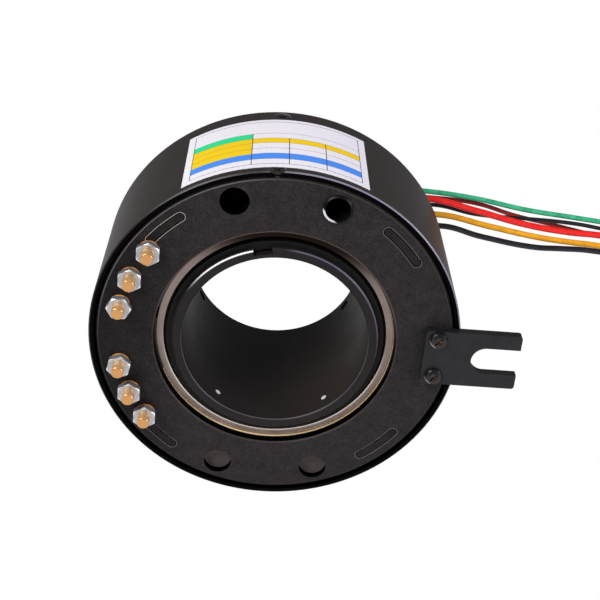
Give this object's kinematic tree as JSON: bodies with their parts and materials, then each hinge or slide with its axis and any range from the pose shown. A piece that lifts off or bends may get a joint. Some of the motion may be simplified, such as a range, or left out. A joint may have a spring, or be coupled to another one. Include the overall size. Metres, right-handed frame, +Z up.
{
  "type": "through-bore slip ring",
  "caption": "Through-bore electrical slip ring with a black drum housing, brass terminal studs, a forked torque arm and coloured flying leads.",
  "frame": {"origin": "on the shaft axis at mid-length of the housing shell", "axes": "+Y along the shaft axis from the terminal face to the lead side, +X along the torque arm, +Z up"},
  "size_m": [0.2118, 0.0838, 0.1896],
  "materials": {
    "anodised_shell": "black satin anodised, fine turned grain",
    "black_plate": "black laminate with a fine mottled grain",
    "bearing_steel": "ground steel, warm grey",
    "ball_steel": "polished",
    "cage_brass": "stamped",
    "plated_ring": "yellow passivated spring steel",
    "black_oxide": "black oxide, oiled",
    "bush_black": "polished black",
    "stud_brass": "turned, bright",
    "zinc_plate": "bright zinc",
    "arm_black": "satin black",
    "label_paper": "printed, semi gloss",
    "brush_holder": "moulded laminate",
    "brush_graphite": "copper graphite",
    "brush_silver": "silver graphite",
    "sleeve_grey": "grey anodised, turned",
    "pin_steel": "bright",
    "hub_epoxy": "cast resin",
    "ring_brass": "turned and polished",
    "ring_gold": "gold flashed",
    "barrier_resin": "phenolic",
    "collar_black": "black anodised",
    "wire_green": "extruded insulation",
    "wire_dark_red": "extruded insulation",
    "wire_red": "extruded insulation",
    "wire_thin_black": "extruded insulation",
    "wire_yellow": "extruded insulation",
    "wire_black": "extruded insulation"
  },
  "bodies": {
    "rotor": {"rotor_sleeve": "sleeve_grey", "sleeve_pins": "pin_steel", "insulating_hub": "hub_epoxy", "power_rings": "ring_brass", "signal_rings": "ring_gold", "ring_barriers": "barrier_resin", "rotor_collar": "collar_black", "collar_set_screws": "black_oxide", "front_bearing_inner_ring": "bearing_steel", "rear_bearing_inner_ring": "bearing_steel", "sleeve_retaining_ring": "black_oxide", "green_lead": "wire_green", "dark_red_lead": "wire_dark_red", "red_lead": "wire_red", "thin_black_lead": "wire_thin_black", "yellow_lead": "wire_yellow", "black_lead": "wire_black"},
    "stator": {"housing_shell": "anodised_shell", "front_end_plate": "black_plate", "rear_end_plate": "black_plate", "shell_screws": "black_oxide", "label": "label_paper", "front_bearing_outer_ring": "bearing_steel", "rear_bearing_outer_ring": "bearing_steel", "front_snap_ring": "plated_ring", "rear_snap_ring": "plated_ring", "outlet_bush": "bush_black", "terminal_studs": "stud_brass", "stud_washers": "stud_brass", "stud_nuts": "zinc_plate", "torque_arm": "arm_black", "torque_arm_screws": "black_oxide", "brush_blocks": "brush_holder", "power_brushes": "brush_graphite", "signal_brushes": "brush_silver"},
    "front_ball_set": {"front_bearing_balls": "ball_steel", "front_bearing_cage": "cage_brass"},
    "rear_ball_set": {"rear_bearing_balls": "ball_steel", "rear_bearing_cage": "cage_brass"}
  },
  "joints": [
    {"name": "stator_turn", "type": "hinge", "parent": "rotor", "child": "stator", "pos_m": [0, 0, 0], "axis": [0, 1, 0], "continuous": true},
    {"name": "front_balls_turn", "type": "hinge", "parent": "rotor", "child": "front_ball_set", "pos_m": [0, 0, 0], "axis": [0, 1, 0], "continuous": true},
    {"name": "rear_balls_turn", "type": "hinge", "parent": "rotor", "child": "rear_ball_set", "pos_m": [0, 0, 0], "axis": [0, 1, 0], "continuous": true}
  ],
  "couplings": [
    {"joint": "front_balls_turn", "follows": "stator_turn", "ratio": 0.5197},
    {"joint": "rear_balls_turn", "follows": "stator_turn", "ratio": 0.5173}
  ]
}
